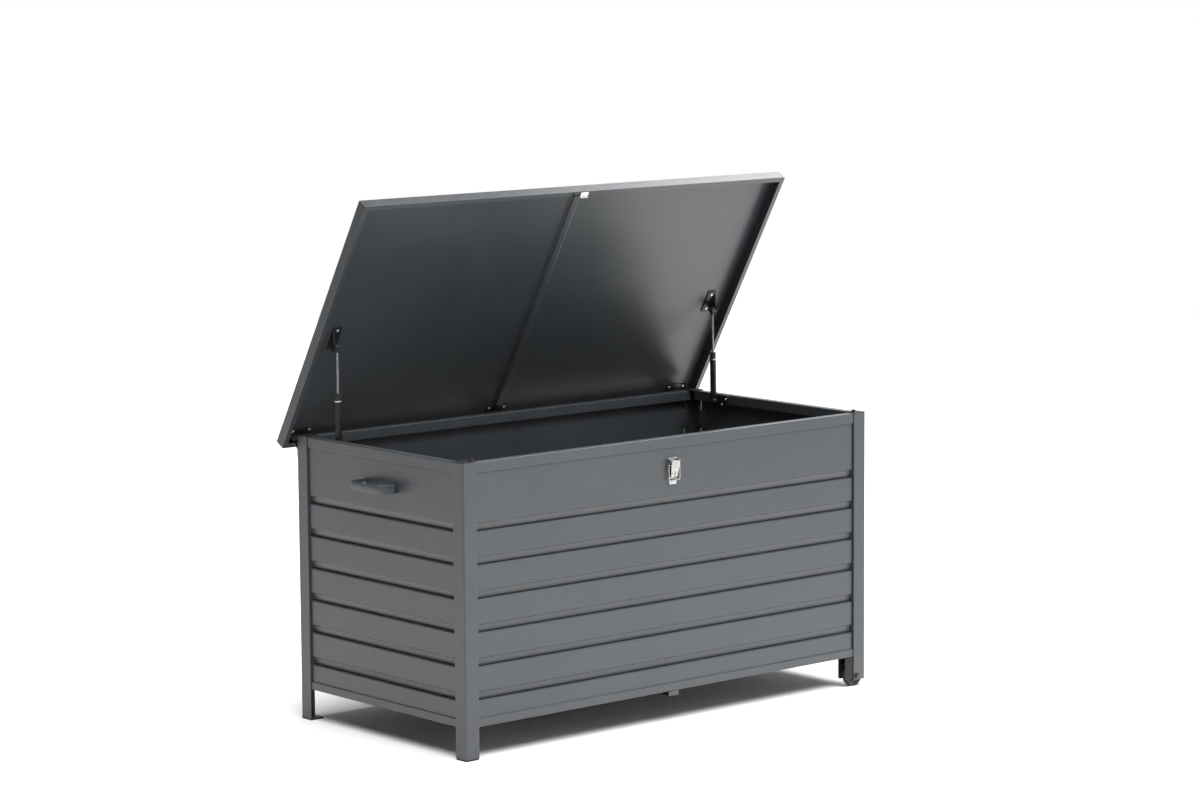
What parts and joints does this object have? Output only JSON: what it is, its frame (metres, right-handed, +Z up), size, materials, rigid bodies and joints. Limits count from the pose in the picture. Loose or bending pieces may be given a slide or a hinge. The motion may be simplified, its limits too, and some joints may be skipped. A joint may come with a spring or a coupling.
{
  "type": "garden storage box",
  "caption": "Long grooved sheet-metal storage box standing open on gas struts, with corner posts, an end handle, wheels under the other end and a front toggle latch.",
  "frame": {"origin": "on the ground, under the middle of the box as it stands open: the footprint's centre lies 16 mm in front of it", "axes": "+X along the box towards the wheels, +Y from the front to the hinged back, +Z up"},
  "size_m": [1.263, 0.6539, 1.1934],
  "materials": {
    "slate_coating": "fine-texture matt powder coat, slate grey",
    "black_plastic": "moulded, matt black",
    "black_steel": "satin black enamel on steel",
    "wheel_rubber": "solid rubber roller, dark grey",
    "pad_rubber": "black rubber pad",
    "zinc_steel": "bright zinc-plated steel",
    "rod_steel": "dark hard-chromed piston rod",
    "nickel": "bright nickel plate"
  },
  "bodies": {
    "box": {"post_front_left": "slate_coating", "post_front_right": "slate_coating", "post_back_left": "slate_coating", "post_back_right": "slate_coating", "post_caps": "black_plastic", "foot_plugs": "black_plastic", "top_rail_front": "slate_coating", "fascia_front": "slate_coating", "slats_front": "slate_coating", "bottom_rail_front": "slate_coating", "top_rail_right": "slate_coating", "fascia_right": "slate_coating", "slats_right": "slate_coating", "bottom_rail_right": "slate_coating", "top_rail_back": "slate_coating", "fascia_back": "slate_coating", "slats_back": "slate_coating", "bottom_rail_back": "slate_coating", "top_rail_left": "slate_coating", "fascia_left": "slate_coating", "slats_left": "slate_coating", "bottom_rail_left": "slate_coating", "joining_plates": "slate_coating", "floor_sheet_left": "slate_coating", "floor_sheet_right": "slate_coating", "floor_beam": "slate_coating", "beam_tabs": "slate_coating", "handle": "slate_coating", "axle_front": "black_steel", "axle_back": "black_steel", "wheel_fork_front": "black_plastic", "wheel_fork_back": "black_plastic", "hinge_leaves_box": "black_steel", "hinge_pins": "zinc_steel", "strut_brackets_box": "black_steel", "latch_base": "nickel", "latch_pin": "nickel", "box_screws": "zinc_steel"},
    "lid": {"lid_shell": "slate_coating", "lid_brace": "slate_coating", "hinge_leaves_lid": "black_steel", "strut_brackets_lid": "black_steel", "latch_keeper": "zinc_steel", "keeper_pad": "pad_rubber", "lid_screws": "zinc_steel"},
    "strut_rod_left": {"strut_rod_left": "rod_steel", "strut_eye_left": "black_plastic"},
    "strut_cylinder_left": {"strut_tube_left": "black_steel", "strut_band_left": "zinc_steel", "strut_fittings_left": "black_plastic"},
    "strut_rod_right": {"strut_rod_right": "rod_steel", "strut_eye_right": "black_plastic"},
    "strut_cylinder_right": {"strut_tube_right": "black_steel", "strut_band_right": "zinc_steel", "strut_fittings_right": "black_plastic"},
    "wheel_front": {"wheel_front": "wheel_rubber"},
    "wheel_back": {"wheel_back": "wheel_rubber"},
    "latch_lever": {"latch_lever": "nickel"},
    "latch_bail": {"latch_bail": "nickel"}
  },
  "joints": [
    {"name": "lid_hinge", "type": "hinge", "parent": "box", "child": "lid", "pos_m": [0, 0.296, 0.627], "axis": [1, 0, 0], "range_deg": [0, 60]},
    {"name": "strut_left_eye", "type": "hinge", "parent": "lid", "child": "strut_rod_left", "pos_m": [-0.565, 0.17529, 0.85407], "axis": [1, 0, 0], "range_deg": [0, 29.5]},
    {"name": "strut_left_slide", "type": "slide", "parent": "strut_rod_left", "child": "strut_cylinder_left", "axis": [0, 0.0148, 0.9999], "range_m": [0, 0.0895]},
    {"name": "strut_right_eye", "type": "hinge", "parent": "lid", "child": "strut_rod_right", "pos_m": [0.565, 0.17529, 0.85407], "axis": [1, 0, 0], "range_deg": [0, 29.5]},
    {"name": "strut_right_slide", "type": "slide", "parent": "strut_rod_right", "child": "strut_cylinder_right", "axis": [0, 0.0148, 0.9999], "range_m": [0, 0.0895]},
    {"name": "wheel_front_spin", "type": "hinge", "parent": "box", "child": "wheel_front", "pos_m": [0.5725, -0.3016, 0.025], "axis": [0, 1, 0], "continuous": true},
    {"name": "wheel_back_spin", "type": "hinge", "parent": "box", "child": "wheel_back", "pos_m": [0.5725, 0.2696, 0.025], "axis": [0, 1, 0], "continuous": true},
    {"name": "latch_lever_hinge", "type": "hinge", "parent": "box", "child": "latch_lever", "pos_m": [0, -0.3197, 0.594], "axis": [-1, 0, 0], "range_deg": [0, 110]},
    {"name": "latch_bail_hinge", "type": "hinge", "parent": "latch_lever", "child": "latch_bail", "pos_m": [0, -0.31798, 0.58517], "axis": [-1, 0, 0], "range_deg": [0, 90]}
  ],
  "couplings": [
    {"joint": "strut_left_eye", "follows": "lid_hinge", "ratio": 0.48545},
    {"joint": "strut_left_slide", "follows": "lid_hinge", "m_per_rad": 0.08502},
    {"joint": "strut_right_eye", "follows": "lid_hinge", "ratio": 0.48545},
    {"joint": "strut_right_slide", "follows": "lid_hinge", "m_per_rad": 0.08502}
  ]
}
